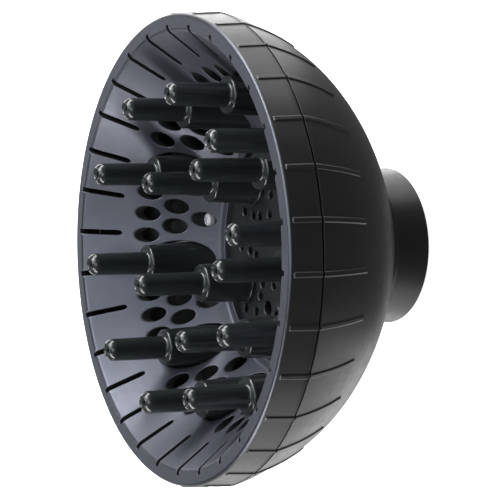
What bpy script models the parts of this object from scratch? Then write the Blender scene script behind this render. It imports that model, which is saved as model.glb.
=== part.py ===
"""Finger diffuser for a hair dryer: two shells, a grille, fifteen hollow fingers, two screws and a grip.

The diffuser stands on the end of its collar with its mouth up. The Z axis is its centre line, and the
origin is the middle of the collar's end. Sizes are in millimetres here and become metres in the meshes.
"""
import bpy
import bmesh
from math import atan2, cos, hypot, pi, radians, sin, sqrt, tan
from mathutils import Matrix, Vector

MM = 0.001
GAP = 0.3                    # clearance between two pieces that touch

# Outer shells
RIM_RADIUS = 80.0            # outer edge of the rim
RIM_EDGE_Z = 85.4            # height of that edge above the collar's end
RIM_FACE_Z = 86.2            # height of the flat rim face
RIM_FACE_INSET = 0.8         # width of the bevel round the rim face
SEAM_RADIUS = 80.8           # the widest place, where the two shells meet
SEAM_Z = 74.5
SEAM_GAP = 0.4
WALL = 2.0                   # shell wall
DOME_END_RADIUS = 32.5       # where the dome meets the collar's fillet
DOME_END_Z = 17.6
DOME_TOP_LEAN = 13.0         # angle of the dome to the Z axis at the seam, degrees
DOME_END_LEAN = 57.0         # the same at the collar
DOME_TOP_REACH = 32.0        # length of the two handles of the dome's curve
DOME_END_REACH = 28.0
DOME_STEPS = 9
DOME_INNER_STEPS = 6
COLLAR_RADIUS = 27.7
COLLAR_FOOT_Z = 1.4          # the collar narrows below this height
COLLAR_EDGE = 0.6
COLLAR_NECK_RADIUS = 26.7
COLLAR_NECK_Z = 12.0         # the fillet to the dome starts here
COLLAR_FILLET_STEPS = 3
COLLAR_BORE = 25.3
GRIP_SEAT_Z = 14.2           # end of the bore that holds the grip
STOP_BORE = 23.4
NOZZLE_STOP_RADIUS = 22.0    # the ledge that the dryer's nozzle runs up against
NOZZLE_STOP_Z = 16.6
TONGUE_RISE = 3.2            # the rear shell's tongue inside the skirt
TONGUE_WALL = 1.5
TONGUE_ROOT = 3.0            # how far below the seam the tongue's inner side starts

# The outside's ribs and the funnel's slots share one spacing
RIB_COUNT = 30
RIB_STEP = 360.0 / RIB_COUNT
RIB_PHASE = 6.55              # degrees
RIB_WIDTH = 2.1
RIB_RISE = 0.45
RIB_ROOT = 1.0               # how deep each rib is sunk in the wall
RIB_TOP_Z = 84.9
RIB_END_Z = 54.0
SLOT_WIDTH = 1.9
SLOT_INNER_RADIUS = 65.8
SLOT_OUTER_RADIUS = 76.4

# Funnel of the front bowl
FUNNEL_TOP_RADIUS = 74.4
FUNNEL_TOP_Z = 85.9
FUNNEL_END_RADIUS = 44.6
FUNNEL_END_Z = 44.4
FUNNEL_EDGE = 0.5            # bevel between the funnel and the rim face, and round its ledge
FUNNEL_WALL = 2.0
RIM_WALL = 2.2
LEDGE_Z = 44.0               # flat ring between the funnel and the grille
SEAT_RADIUS = 41.2           # bore of the seat that holds the grille
SEAT_Z = 40.2
SEAT_LIP_RADIUS = 39.4
SEAT_LIP = 1.6
SEAT_WALL = 1.8
SEAT_BACK_Z = 43.2
SEAT_ROOM_RADIUS = 46.8      # the finger flanges stay outside this radius
CUT_LOW_Z = 34.0             # the heights that the funnel's cutters run between
CUT_HIGH_Z = 90.0

# Air holes: in each sector between two outer fingers, three, two and one, towards the middle
SECTOR_COUNT = 10
FINGER_PHASE = 5.35          # degrees, the first outer finger
SECTOR_STEP = 360.0 / SECTOR_COUNT
AIR_HOLE_RADIUS = 2.7
AIR_HOLE_ROWS = ((60.5, (-7.6, 0.0, 7.6)), (54.4, (-3.9, 3.9)), (48.2, (0.0,)))
SCREW_SECTORS = (4, 9)       # the two opposite sectors whose inmost hole holds a screw
SCREW_CIRCLE = 48.2

# Screws, their recesses and posts
SCREW_FLOOR_Z = 45.4
SCREW_HEAD_RADIUS = 2.2
SCREW_HEAD_HEIGHT = 3.0
SCREW_HEAD_CROWN = 0.9
SCREW_HEAD_FLAT = 1.2
SCREW_SHANK_RADIUS = 1.3
SCREW_POINT = 1.2
SCREW_LENGTH = 12.0
SCREW_BOSS_RADIUS = 4.4
SCREW_BOSS_BASE_Z = 41.4
POST_RADIUS = 3.6
POST_BORE_Z = 33.0

# Grille
GRILLE_RADIUS = SEAT_RADIUS - GAP
GRILLE_THICKNESS = 2.0
GRILLE_EDGE = 0.4
GRILLE_HOLE = 1.5
GRILLE_LARGE_HOLE = 2.5
# In each sector between two inner fingers: circle, degrees from the sector's middle, radius of the holes
GRILLE_ROWS = (
    (7.5, (0.0,), GRILLE_HOLE),
    (15.5, (0.0, 36.0), GRILLE_HOLE),
    (20.7, (-20.5, 20.5), GRILLE_HOLE),
    (24.9, (0.0,), GRILLE_LARGE_HOLE),
    (24.9, (-15.0, 15.0), GRILLE_HOLE),
    (31.0, (-12.0, 12.0), GRILLE_HOLE),
    (36.0, (-22.0, 0.0, 22.0), GRILLE_HOLE),
)

# Fingers
OUTER_FINGER_CIRCLE = 53.4
OUTER_NOSE_Z = 90.5           # where the shaft's round nose starts
OUTER_SHOULDER_Z = 70.6
INNER_FINGER_CIRCLE = 30.96
INNER_NOSE_Z = 83.7
INNER_SHOULDER_Z = 61.2
INNER_FINGER_PHASE = -12.65
INNER_FINGER_COUNT = 5
INNER_FINGER_STEP = 360.0 / INNER_FINGER_COUNT
INNER_FOOT_RADIUS = 7.9      # ring by which an inner finger stands on the grille
INNER_FOOT_RISE = 1.2
SHAFT_RADIUS = 4.15
SHAFT_TIP_RADIUS = 3.95
NOSE_REACH = 3.0             # the nose is part of an ellipsoid; this is its half-length
NOSE_MIDDLE_RADIUS = 3.3
MOUTH_RADIUS = 2.4
MOUTH_DEPTH = 0.45
TIP_HOLE_RADIUS = 1.0
TIP_WALL = 1.6
SHAFT_BORE = 2.7
BOSS_RADIUS = 6.8            # at the shoulder
BOSS_FOOT_RADIUS = 7.5
BOSS_BORE = 5.4
BOSS_EDGE = 0.7
BORE_TAPER_TOP = 4.0         # the shaft's bore widens to the boss's between these depths below the shoulder
BORE_TAPER_END = 6.0
UNION_OVERLAP = 0.6
FINGER_SOCKET = BOSS_FOOT_RADIUS + 0.4
FLANGE_RADIUS = 9.3
FLANGE_WALL = 1.5
GRILLE_SOCKET = 6.5          # hole in the grille for an inner finger's neck
NECK_RADIUS = GRILLE_SOCKET - GAP
CATCH_RADIUS = 7.3           # the ring behind the grille that keeps the neck in
CATCH_WALL = 1.2
CATCH_EDGE = 0.5
NECK_BORE = 4.6

# Nozzle grip
GRIP_OUTER = COLLAR_BORE - GAP
GRIP_INNER = 24.2
GRIP_LIP = 0.6               # drawn as the nozzle presses it
GRIP_LIP_HALF = 1.0
GRIP_BASE_Z = 1.2
GRIP_TOP_Z = GRIP_SEAT_Z - GAP

# Faceting
SHELL_SIDES = 60
FINGER_SIDES = 12
GRIP_SIDES = 30
SOCKET_SIDES = 20
HOLE_SIDES = 10
GRILLE_HOLE_SIDES = 8
TURN_PHASE = pi / SHELL_SIDES    # puts each rib near the middle of a facet


def clear_scene():
    for thing in list(bpy.data.objects):
        bpy.data.objects.remove(thing, do_unlink=True)


def plastic(name, colour, roughness, metallic=0.0):
    """Principled material of one colour."""
    mat = bpy.data.materials.new(name)
    mat.use_nodes = True
    shader = mat.node_tree.nodes["Principled BSDF"]
    shader.inputs["Base Color"].default_value = (*colour, 1.0)
    shader.inputs["Roughness"].default_value = roughness
    shader.inputs["Metallic"].default_value = metallic
    return mat


def add_object(name, mesh, mat=None):
    thing = bpy.data.objects.new(name, mesh)
    bpy.context.scene.collection.objects.link(thing)
    if mat is not None:
        mesh.materials.clear()
        mesh.materials.append(mat)
    return thing


def finish_mesh(name, bm):
    """Turn a bmesh in millimetres into a smooth-shaded mesh in metres."""
    bmesh.ops.remove_doubles(bm, verts=bm.verts, dist=0.001)
    bmesh.ops.recalc_face_normals(bm, faces=bm.faces)
    bmesh.ops.scale(bm, vec=(MM, MM, MM), verts=bm.verts)
    mesh = bpy.data.meshes.new(name)
    bm.to_mesh(mesh)
    bm.free()
    mesh.shade_smooth()
    mesh.set_sharp_from_angle(angle=radians(30))
    return mesh


def turned_mesh(name, outline, sides, phase=0.0):
    """Spin a closed (radius, height) outline round the Z axis."""
    bm = bmesh.new()
    ring = [bm.verts.new((r * cos(phase), r * sin(phase), z)) for r, z in outline]
    edges = [bm.edges.new((ring[i - 1], ring[i])) for i in range(len(ring))]
    bmesh.ops.spin(bm, geom=edges, cent=(0, 0, 0), axis=(0, 0, 1), angle=2 * pi, steps=sides,
                   use_merge=True, use_duplicate=False)
    return finish_mesh(name, bm)


def turned(name, outline, sides, mat=None, phase=0.0):
    return add_object(name, turned_mesh(name, outline, sides, phase), mat)


def add_rod(bm, x, y, radius, low, high, sides):
    """Add a closed vertical cylinder to a bmesh."""
    place = Matrix.Translation((x, y, (low + high) / 2))
    bmesh.ops.create_cone(bm, cap_ends=True, segments=sides, radius1=radius, radius2=radius,
                          depth=high - low, matrix=place)


def add_prism(bm, outline, width, angle):
    """Add a slab: a (radius, height) outline in the meridian plane at an angle, of the given width."""
    along = Vector((cos(angle), sin(angle), 0))
    across = Vector((-sin(angle), cos(angle), 0)) * width / 2
    sides = []
    for shift in (-across, across):
        sides.append([bm.verts.new(along * r + shift + Vector((0, 0, z))) for r, z in outline])
    bm.faces.new(sides[0])
    bm.faces.new(sides[1][::-1])
    for i in range(len(outline)):
        bm.faces.new((sides[0][i - 1], sides[1][i - 1], sides[1][i], sides[0][i]))


def cutter(name, bm):
    """Make a helper object from a bmesh; helpers are drawn as wires and aren't part of the diffuser."""
    helper = add_object(name, finish_mesh(name, bm))
    hide_helper(helper)
    return helper


def hide_helper(helper):
    helper.hide_render = True
    helper.display_type = "WIRE"


def combine(target, helper, operation):
    step = target.modifiers.new(f"{operation.lower()}_{helper.name}", "BOOLEAN")
    step.operation = operation
    step.solver = "EXACT"
    step.object = helper


def baked_mesh(target, name):
    """The target's mesh with its modifiers applied."""
    graph = bpy.context.evaluated_depsgraph_get()
    mesh = bpy.data.meshes.new_from_object(target.evaluated_get(graph))
    mesh.name = name
    return mesh


def on_circle(radius, degrees):
    return radius * cos(radians(degrees)), radius * sin(radians(degrees))


def screw_places():
    return [on_circle(SCREW_CIRCLE, FINGER_PHASE + (sector + 0.5) * SECTOR_STEP) for sector in SCREW_SECTORS]


def screw_rods(name, radius, low, high, sides):
    """Helper: an equal vertical cylinder at each screw."""
    bm = bmesh.new()
    for x, y in screw_places():
        add_rod(bm, x, y, radius, low, high, sides)
    return cutter(name, bm)


# ---------------------------------------------------------------- profiles

def dome_curve(inset=0.0, steps=DOME_STEPS):
    """(radius, height) points down the dome, moved inwards by inset, from the seam to the collar."""
    top = Vector((SEAM_RADIUS, SEAM_Z - SEAM_GAP / 2))
    end = Vector((DOME_END_RADIUS, DOME_END_Z))
    lean0, lean1 = radians(DOME_TOP_LEAN), radians(DOME_END_LEAN)
    handle0 = top - DOME_TOP_REACH * Vector((sin(lean0), cos(lean0)))
    handle1 = end + DOME_END_REACH * Vector((sin(lean1), cos(lean1)))
    points = []
    for i in range(steps + 1):
        t = i / steps
        s = 1 - t
        spot = s**3 * top + 3 * s * s * t * handle0 + 3 * s * t * t * handle1 + t**3 * end
        way = s * s * (handle0 - top) + 2 * s * t * (handle1 - handle0) + t * t * (end - handle1)
        way.normalize()
        spot += inset * Vector((way.y, -way.x))
        points.append((spot.x, spot.y))
    return points


def collar_fillet():
    """(radius, height) points of the round corner between the dome and the collar's neck."""
    start = Vector((DOME_END_RADIUS, DOME_END_Z))
    drop = (DOME_END_RADIUS - COLLAR_NECK_RADIUS) / tan(radians(DOME_END_LEAN))
    corner = Vector((COLLAR_NECK_RADIUS, DOME_END_Z - drop))
    end = Vector((COLLAR_NECK_RADIUS, COLLAR_NECK_Z))
    points = []
    for i in range(1, COLLAR_FILLET_STEPS + 1):
        t = i / COLLAR_FILLET_STEPS
        points.append(tuple((1 - t)**2 * start + 2 * t * (1 - t) * corner + t * t * end))
    return points


def on_line(points, known, value):
    """The other coordinate of the broken line where coordinate number known has this value."""
    for a, b in zip(points, points[1:]):
        if min(a[known], b[known]) <= value <= max(a[known], b[known]):
            part = (value - a[known]) / (b[known] - a[known])
            return a[1 - known] + part * (b[1 - known] - a[1 - known])
    return points[-1][1 - known]


def funnel_lean():
    """Angle of the funnel's wall to the Z axis."""
    return atan2(FUNNEL_TOP_RADIUS - FUNNEL_END_RADIUS, FUNNEL_TOP_Z - FUNNEL_END_Z)


def funnel_z(radius, depth=0.0):
    """Height of the surface that lies depth behind the funnel's inner face."""
    lean = funnel_lean()
    return FUNNEL_TOP_Z - (FUNNEL_TOP_RADIUS - radius) / tan(lean) - depth / sin(lean)


def funnel_radius(z, depth=0.0):
    """Radius of the same surface at a height."""
    lean = funnel_lean()
    return FUNNEL_TOP_RADIUS - (FUNNEL_TOP_Z - z - depth / sin(lean)) * tan(lean)


def skirt_radius(z):
    """Outer radius of the skirt between the rim's edge and the seam."""
    part = (RIM_EDGE_Z - z) / (RIM_EDGE_Z - SEAM_Z)
    return RIM_RADIUS + part * (SEAM_RADIUS - RIM_RADIUS)


# ---------------------------------------------------------------- shells

def rib_slabs(name, outline):
    """Helper: thirty slabs round the axis, each with the same meridian outline."""
    bm = bmesh.new()
    for i in range(RIB_COUNT):
        add_prism(bm, outline, RIB_WIDTH, radians(RIB_PHASE + i * RIB_STEP))
    return cutter(name, bm)


def screw_posts():
    """Helper: the posts that take the screws, each with a foot that follows the middle of the dome's wall."""
    bm = bmesh.new()
    for x, y in screw_places():
        add_rod(bm, x, y, POST_RADIUS, 0, SCREW_BOSS_BASE_Z - GAP, SOCKET_SIDES)
    middle = dome_curve(WALL / 2)
    for vert in bm.verts:
        if vert.co.z < SEAM_GAP:
            vert.co.z = on_line(middle, 0, hypot(vert.co.x, vert.co.y))
    bmesh.ops.triangulate(bm, faces=[face for face in bm.faces if len(face.verts) > 4])
    return cutter("screw_posts", bm)


def make_rear_shell(mat):
    """Dome and collar in one moulding, with a tongue that enters the skirt and a post for each screw."""
    inner = dome_curve(WALL, DOME_INNER_STEPS)
    floor_z = inner[-1][1]
    tongue = SEAM_RADIUS - WALL - GAP
    outline = dome_curve() + collar_fillet() + [
        (COLLAR_RADIUS, COLLAR_FOOT_Z), (COLLAR_RADIUS - COLLAR_EDGE, 0.0),
        (COLLAR_BORE + COLLAR_EDGE, 0.0), (COLLAR_BORE, COLLAR_EDGE),
        (COLLAR_BORE, GRIP_SEAT_Z), (STOP_BORE, GRIP_SEAT_Z),
        (STOP_BORE, NOZZLE_STOP_Z), (NOZZLE_STOP_RADIUS, NOZZLE_STOP_Z),
        (NOZZLE_STOP_RADIUS, floor_z),
    ]
    outline += [p for p in reversed(inner) if p[1] < SEAM_Z - TONGUE_ROOT]
    outline += [
        (tongue - TONGUE_WALL, SEAM_Z - TONGUE_ROOT), (tongue - TONGUE_WALL, SEAM_Z + TONGUE_RISE),
        (tongue, SEAM_Z + TONGUE_RISE), (tongue, SEAM_Z - SEAM_GAP / 2),
    ]
    shell = turned("rear_shell", outline, SHELL_SIDES, mat, TURN_PHASE)
    combine(shell, screw_posts(), "UNION")
    bores = screw_rods("post_bores", SCREW_SHANK_RADIUS + GAP, POST_BORE_Z, SEAM_Z, FINGER_SIDES)
    combine(shell, bores, "DIFFERENCE")

    top_z = SEAM_Z - SEAM_GAP / 2
    face, root = dome_curve(-RIB_RISE), dome_curve(RIB_ROOT)
    face_end, root_end = (on_line(line, 1, RIB_END_Z) for line in (face, root))
    outline = [(SEAM_RADIUS + RIB_RISE, top_z)]
    outline += [p for p in face[1:] if p[1] > RIB_END_Z] + [(face_end, RIB_END_Z), (root_end, RIB_END_Z)]
    outline += [p for p in reversed(root[1:]) if p[1] > RIB_END_Z] + [(SEAM_RADIUS - RIB_ROOT, top_z)]
    combine(shell, rib_slabs("rear_ribs", outline), "UNION")
    return shell


def air_hole_rods():
    """Helper: the finger sockets, the air holes and the recesses of the screws."""
    bm = bmesh.new()
    for sector in range(SECTOR_COUNT):
        middle = FINGER_PHASE + (sector + 0.5) * SECTOR_STEP
        x, y = on_circle(OUTER_FINGER_CIRCLE, middle - SECTOR_STEP / 2)
        add_rod(bm, x, y, FINGER_SOCKET, CUT_LOW_Z, CUT_HIGH_Z, SOCKET_SIDES)
        for radius, angles in AIR_HOLE_ROWS:
            screw_here = radius == SCREW_CIRCLE and sector in SCREW_SECTORS
            low = SCREW_FLOOR_Z if screw_here else CUT_LOW_Z
            for angle in angles:
                x, y = on_circle(radius, middle + angle)
                add_rod(bm, x, y, AIR_HOLE_RADIUS, low, CUT_HIGH_Z, HOLE_SIDES)
    return cutter("air_holes", bm)


def slot_prisms():
    """Helper: the slots at the top of the funnel, round at their inner ends."""
    half = SLOT_WIDTH / 2
    plan = [(SLOT_INNER_RADIUS, -half / 2), (SLOT_INNER_RADIUS + half, -half), (SLOT_OUTER_RADIUS, -half),
            (SLOT_OUTER_RADIUS, half), (SLOT_INNER_RADIUS + half, half), (SLOT_INNER_RADIUS, half / 2)]
    bm = bmesh.new()
    for i in range(RIB_COUNT):
        spin = Matrix.Rotation(radians(RIB_PHASE + i * RIB_STEP), 4, "Z")
        low = [bm.verts.new(spin @ Vector((x, y, CUT_LOW_Z))) for x, y in plan]
        high = [bm.verts.new(spin @ Vector((x, y, CUT_HIGH_Z))) for x, y in plan]
        bm.faces.new(low[::-1])
        bm.faces.new(high)
        for k in range(len(plan)):
            bm.faces.new((low[k - 1], low[k], high[k], high[k - 1]))
    return cutter("rim_slots", bm)


def make_front_bowl(mat):
    """Funnel, rim and skirt in one moulding, with the grille's seat at the funnel's end."""
    under_z = RIM_FACE_Z - RIM_WALL
    outline = [
        (SEAM_RADIUS, SEAM_Z + SEAM_GAP / 2), (SEAM_RADIUS - WALL, SEAM_Z + SEAM_GAP / 2),
        (skirt_radius(under_z) - WALL, under_z), (funnel_radius(under_z, FUNNEL_WALL), under_z),
        (funnel_radius(SEAT_BACK_Z, FUNNEL_WALL), SEAT_BACK_Z),
        (SEAT_RADIUS + SEAT_WALL, SEAT_Z - SEAT_LIP), (SEAT_LIP_RADIUS, SEAT_Z - SEAT_LIP),
        (SEAT_LIP_RADIUS, SEAT_Z), (SEAT_RADIUS, SEAT_Z), (SEAT_RADIUS, LEDGE_Z),
        (FUNNEL_END_RADIUS - FUNNEL_EDGE, LEDGE_Z), (FUNNEL_END_RADIUS, FUNNEL_END_Z),
        (FUNNEL_TOP_RADIUS, FUNNEL_TOP_Z), (FUNNEL_TOP_RADIUS + FUNNEL_EDGE, RIM_FACE_Z),
        (RIM_RADIUS - RIM_FACE_INSET, RIM_FACE_Z), (RIM_RADIUS, RIM_EDGE_Z),
    ]
    bowl = turned("front_bowl", outline[::-1], SHELL_SIDES, mat, TURN_PHASE)
    boss_top = funnel_z(SCREW_CIRCLE - SCREW_BOSS_RADIUS, FUNNEL_WALL / 2)
    bosses = screw_rods("screw_bosses", SCREW_BOSS_RADIUS, SCREW_BOSS_BASE_Z, boss_top, SOCKET_SIDES)
    combine(bowl, bosses, "UNION")
    combine(bowl, air_hole_rods(), "DIFFERENCE")
    bores = screw_rods("boss_bores", SCREW_SHANK_RADIUS + GAP, CUT_LOW_Z, SEAM_Z, FINGER_SIDES)
    combine(bowl, bores, "DIFFERENCE")
    combine(bowl, slot_prisms(), "DIFFERENCE")
    low_z, end_radius = SEAM_Z + SEAM_GAP / 2, skirt_radius(RIB_TOP_Z)
    outline = [
        (end_radius + RIB_RISE, RIB_TOP_Z), (SEAM_RADIUS + RIB_RISE, low_z),
        (SEAM_RADIUS - RIB_ROOT, low_z), (end_radius - RIB_ROOT, RIB_TOP_Z),
    ]
    combine(bowl, rib_slabs("front_ribs", outline), "UNION")
    return bowl


# ---------------------------------------------------------------- grille, fingers and small pieces

def inner_finger_angles():
    return [INNER_FINGER_PHASE + i * INNER_FINGER_STEP for i in range(INNER_FINGER_COUNT)]


def make_centre_grille(mat):
    low, high = SEAT_Z + GAP, SEAT_Z + GAP + GRILLE_THICKNESS
    outline = [
        (0, low), (GRILLE_RADIUS, low), (GRILLE_RADIUS, high - GRILLE_EDGE),
        (GRILLE_RADIUS - GRILLE_EDGE, high), (0, high),
    ]
    grille = turned("centre_grille", outline[::-1], SHELL_SIDES, mat, TURN_PHASE)
    bm = bmesh.new()
    add_rod(bm, 0, 0, GRILLE_HOLE, CUT_LOW_Z, CUT_HIGH_Z, GRILLE_HOLE_SIDES)
    for angle in inner_finger_angles():
        x, y = on_circle(INNER_FINGER_CIRCLE, angle)
        add_rod(bm, x, y, GRILLE_SOCKET, CUT_LOW_Z, CUT_HIGH_Z, SOCKET_SIDES)
        for circle, offsets, radius in GRILLE_ROWS:
            for offset in offsets:
                x, y = on_circle(circle, angle + INNER_FINGER_STEP / 2 + offset)
                add_rod(bm, x, y, radius, CUT_LOW_Z, CUT_HIGH_Z, GRILLE_HOLE_SIDES)
    combine(grille, cutter("grille_holes", bm), "DIFFERENCE")
    return grille


def nose_rise(radius):
    """Height of the nose above its start at a radius."""
    return NOSE_REACH * sqrt(1 - (radius / SHAFT_TIP_RADIUS)**2)


def finger_top(nose_z, shoulder_z):
    """(radius, height) points from the boss's shoulder over the tip and down the bore to the boss."""
    mouth_z = nose_z + nose_rise(MOUTH_RADIUS)
    floor_z = mouth_z - MOUTH_DEPTH
    return [
        (BOSS_RADIUS, shoulder_z - BOSS_EDGE), (BOSS_RADIUS - BOSS_EDGE, shoulder_z),
        (SHAFT_RADIUS, shoulder_z), (SHAFT_TIP_RADIUS, nose_z),
        (NOSE_MIDDLE_RADIUS, nose_z + nose_rise(NOSE_MIDDLE_RADIUS)), (MOUTH_RADIUS, mouth_z),
        (TIP_HOLE_RADIUS, floor_z), (TIP_HOLE_RADIUS, floor_z - TIP_WALL),
        (SHAFT_BORE, floor_z - TIP_WALL), (SHAFT_BORE, shoulder_z - BORE_TAPER_TOP),
    ]


def split_at_funnel(name, depth, above):
    """Helper: all the space above, or behind, the surface that lies depth behind the funnel's inner face."""
    inner, outer = SEAT_LIP_RADIUS - 10, FUNNEL_TOP_RADIUS
    far_z = RIM_FACE_Z + 10 if above else 0
    outline = [(inner, funnel_z(inner, depth)), (outer, funnel_z(outer, depth))]
    outline += [(outer, far_z), (inner, far_z)]
    helper = turned(name, outline, SHELL_SIDES, phase=TURN_PHASE)
    hide_helper(helper)
    return helper


def outer_finger_mesh():
    """One outer finger at angle FINGER_PHASE, with a flange behind the funnel that keeps it in its socket."""
    flange_z = funnel_z(OUTER_FINGER_CIRCLE + FLANGE_RADIUS)
    root = BOSS_BORE + UNION_OVERLAP
    outline = [(BOSS_BORE, CUT_LOW_Z), (BOSS_FOOT_RADIUS, CUT_LOW_Z)]
    outline += finger_top(OUTER_NOSE_Z, OUTER_SHOULDER_Z)
    outline.append((BOSS_BORE, OUTER_SHOULDER_Z - BORE_TAPER_END))
    body = turned("finger_body", outline[::-1], FINGER_SIDES)
    outline = [(FLANGE_RADIUS, 0), (FLANGE_RADIUS, flange_z), (root, flange_z), (root, 0)]
    flange = turned("finger_flange", outline, FINGER_SIDES)
    hide_helper(flange)
    x, y = on_circle(OUTER_FINGER_CIRCLE, FINGER_PHASE)
    body.location = flange.location = (x * MM, y * MM, 0)

    bm = bmesh.new()
    add_rod(bm, 0, 0, SEAT_ROOM_RADIUS, 0, CUT_HIGH_Z, SHELL_SIDES)
    seat_room = cutter("seat_room", bm)
    above = split_at_funnel("above_flange", FUNNEL_WALL + GAP, True)
    behind = split_at_funnel("behind_flange", FUNNEL_WALL + GAP + FLANGE_WALL, False)
    combine(flange, above, "DIFFERENCE")
    combine(flange, seat_room, "DIFFERENCE")
    combine(body, flange, "UNION")
    combine(body, behind, "DIFFERENCE")
    mesh = baked_mesh(body, "outer_finger")
    mesh.transform(Matrix.Translation(body.location))
    for helper in (body, flange, seat_room, above, behind):
        bpy.data.objects.remove(helper, do_unlink=True)
    return mesh


def inner_finger_mesh():
    """One inner finger on the Z axis: its foot stands on the grille and its neck snaps through."""
    foot_z = SEAT_Z + 2 * GAP + GRILLE_THICKNESS
    outline = [
        (NECK_BORE, SEAT_Z - CATCH_WALL), (CATCH_RADIUS - CATCH_EDGE, SEAT_Z - CATCH_WALL),
        (CATCH_RADIUS, SEAT_Z), (NECK_RADIUS, SEAT_Z), (NECK_RADIUS, foot_z),
        (INNER_FOOT_RADIUS, foot_z), (INNER_FOOT_RADIUS, foot_z + INNER_FOOT_RISE),
        (BOSS_FOOT_RADIUS, foot_z + INNER_FOOT_RISE),
    ]
    outline += finger_top(INNER_NOSE_Z, INNER_SHOULDER_Z)
    outline.append((NECK_BORE, INNER_SHOULDER_Z - BORE_TAPER_END))
    return turned_mesh("inner_finger", outline[::-1], FINGER_SIDES)


def make_fingers(mat):
    mesh = outer_finger_mesh()
    mesh.materials.append(mat)
    for i in range(SECTOR_COUNT):
        finger = add_object(f"outer_finger_{i + 1:02d}", mesh)
        finger.rotation_euler.z = radians(i * SECTOR_STEP)
    mesh = inner_finger_mesh()
    mesh.materials.append(mat)
    for i, angle in enumerate(inner_finger_angles()):
        finger = add_object(f"inner_finger_{i + 1:02d}", mesh)
        x, y = on_circle(INNER_FINGER_CIRCLE, angle)
        finger.location = (x * MM, y * MM, 0)
        finger.rotation_euler.z = radians(angle)


def make_screws(mat):
    seat = SCREW_FLOOR_Z + GAP
    top = seat + SCREW_HEAD_HEIGHT
    mesh = turned_mesh("case_screw", [
        (0, top), (SCREW_HEAD_FLAT, top), (SCREW_HEAD_RADIUS, top - SCREW_HEAD_CROWN),
        (SCREW_HEAD_RADIUS, seat), (SCREW_SHANK_RADIUS, seat),
        (SCREW_SHANK_RADIUS, seat - SCREW_LENGTH + SCREW_POINT), (0, seat - SCREW_LENGTH),
    ], FINGER_SIDES)
    mesh.materials.append(mat)
    for i, (x, y) in enumerate(screw_places()):
        screw = add_object(f"case_screw_{i + 1:02d}", mesh)
        screw.location = (x * MM, y * MM, 0)


def make_nozzle_grip(mat):
    """Soft ring in the collar, with two lips that press on the dryer's nozzle."""
    third = (GRIP_TOP_Z - GRIP_BASE_Z) / 3
    outline = [(GRIP_OUTER, GRIP_TOP_Z), (GRIP_OUTER, GRIP_BASE_Z), (GRIP_INNER, GRIP_BASE_Z)]
    for step in (1, 2):
        z = GRIP_BASE_Z + step * third
        outline += [(GRIP_INNER, z - GRIP_LIP_HALF), (GRIP_INNER - GRIP_LIP, z)]
        outline.append((GRIP_INNER, z + GRIP_LIP_HALF))
    outline.append((GRIP_INNER, GRIP_TOP_Z))
    return turned("nozzle_grip", outline, GRIP_SIDES, mat)


def main():
    clear_scene()
    shell_black = plastic("shell_black", (0.020, 0.019, 0.019), 0.42)
    bowl_grey = plastic("bowl_grey", (0.085, 0.088, 0.105), 0.48)
    finger_black = plastic("finger_black", (0.012, 0.013, 0.013), 0.30)
    rubber = plastic("grip_rubber", (0.030, 0.030, 0.030), 0.80)
    steel = plastic("screw_steel", (0.560, 0.560, 0.560), 0.30, 1.0)
    make_rear_shell(shell_black)
    make_front_bowl(bowl_grey)
    make_centre_grille(finger_black)
    make_fingers(finger_black)
    make_screws(steel)
    make_nozzle_grip(rubber)


main()
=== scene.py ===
"""Looks of the finger diffuser: fine surfaces, plastics, studio light and the camera.

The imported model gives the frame. Sizes are in millimetres here and become metres in the meshes.
The Z axis is the diffuser's centre line, its collar stands on the floor and its mouth looks up.
"""
import bpy
import bmesh
from math import acos, atan2, ceil, cos, hypot, pi, radians, sin, sqrt, tan
from mathutils import Matrix, Quaternion, Vector, geometry


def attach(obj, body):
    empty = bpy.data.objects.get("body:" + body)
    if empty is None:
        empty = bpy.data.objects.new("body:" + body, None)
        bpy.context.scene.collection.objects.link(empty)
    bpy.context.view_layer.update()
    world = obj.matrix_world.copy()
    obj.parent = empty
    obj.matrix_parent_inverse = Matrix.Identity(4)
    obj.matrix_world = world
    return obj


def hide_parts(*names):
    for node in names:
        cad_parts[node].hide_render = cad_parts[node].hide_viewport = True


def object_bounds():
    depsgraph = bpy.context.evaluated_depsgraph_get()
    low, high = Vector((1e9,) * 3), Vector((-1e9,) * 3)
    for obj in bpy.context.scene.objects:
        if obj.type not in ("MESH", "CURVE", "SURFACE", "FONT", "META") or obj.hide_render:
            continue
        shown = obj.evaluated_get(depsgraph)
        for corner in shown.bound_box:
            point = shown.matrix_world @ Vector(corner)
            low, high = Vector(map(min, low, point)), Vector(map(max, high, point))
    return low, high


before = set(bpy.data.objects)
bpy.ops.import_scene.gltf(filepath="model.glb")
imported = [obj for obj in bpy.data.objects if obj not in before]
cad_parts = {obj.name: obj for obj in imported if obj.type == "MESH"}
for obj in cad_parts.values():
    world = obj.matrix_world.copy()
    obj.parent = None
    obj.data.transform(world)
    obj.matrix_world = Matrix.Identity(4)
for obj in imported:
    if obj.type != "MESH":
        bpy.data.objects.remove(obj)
CAD_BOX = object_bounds()

MM = 0.001
GAP = 0.3
OVERLAP = 0.05               # how far joined shapes reach into each other

# Rim, skirt and seam
RIM_RADIUS = 80.0
RIM_EDGE_Z = 85.1
RIM_FACE_Z = 86.2
RIM_FACE_INSET = 1.1
RIM_STEP_RADIUS = 75.0       # the rim's face drops to the funnel's edge by a small step
RIM_STEP_WIDTH = 0.12
RIM_STEP = 0.45
RIM_WALL = 2.2
RIM_BACK_DROP = 0.3          # the rim's back lies this much lower beside the skirt
SEAM_RADIUS = 80.8
SEAM_Z = 74.5
SEAM_GAP = 0.7
SEAM_EDGE = 0.18
SEAM_ROW = 1.3               # the first mesh row off the seam, in seam edges
WALL = 2.0
SKIRT_ROWS = (82.6, 81.2, 79.6, 78.0, 76.4, 75.2)

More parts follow.
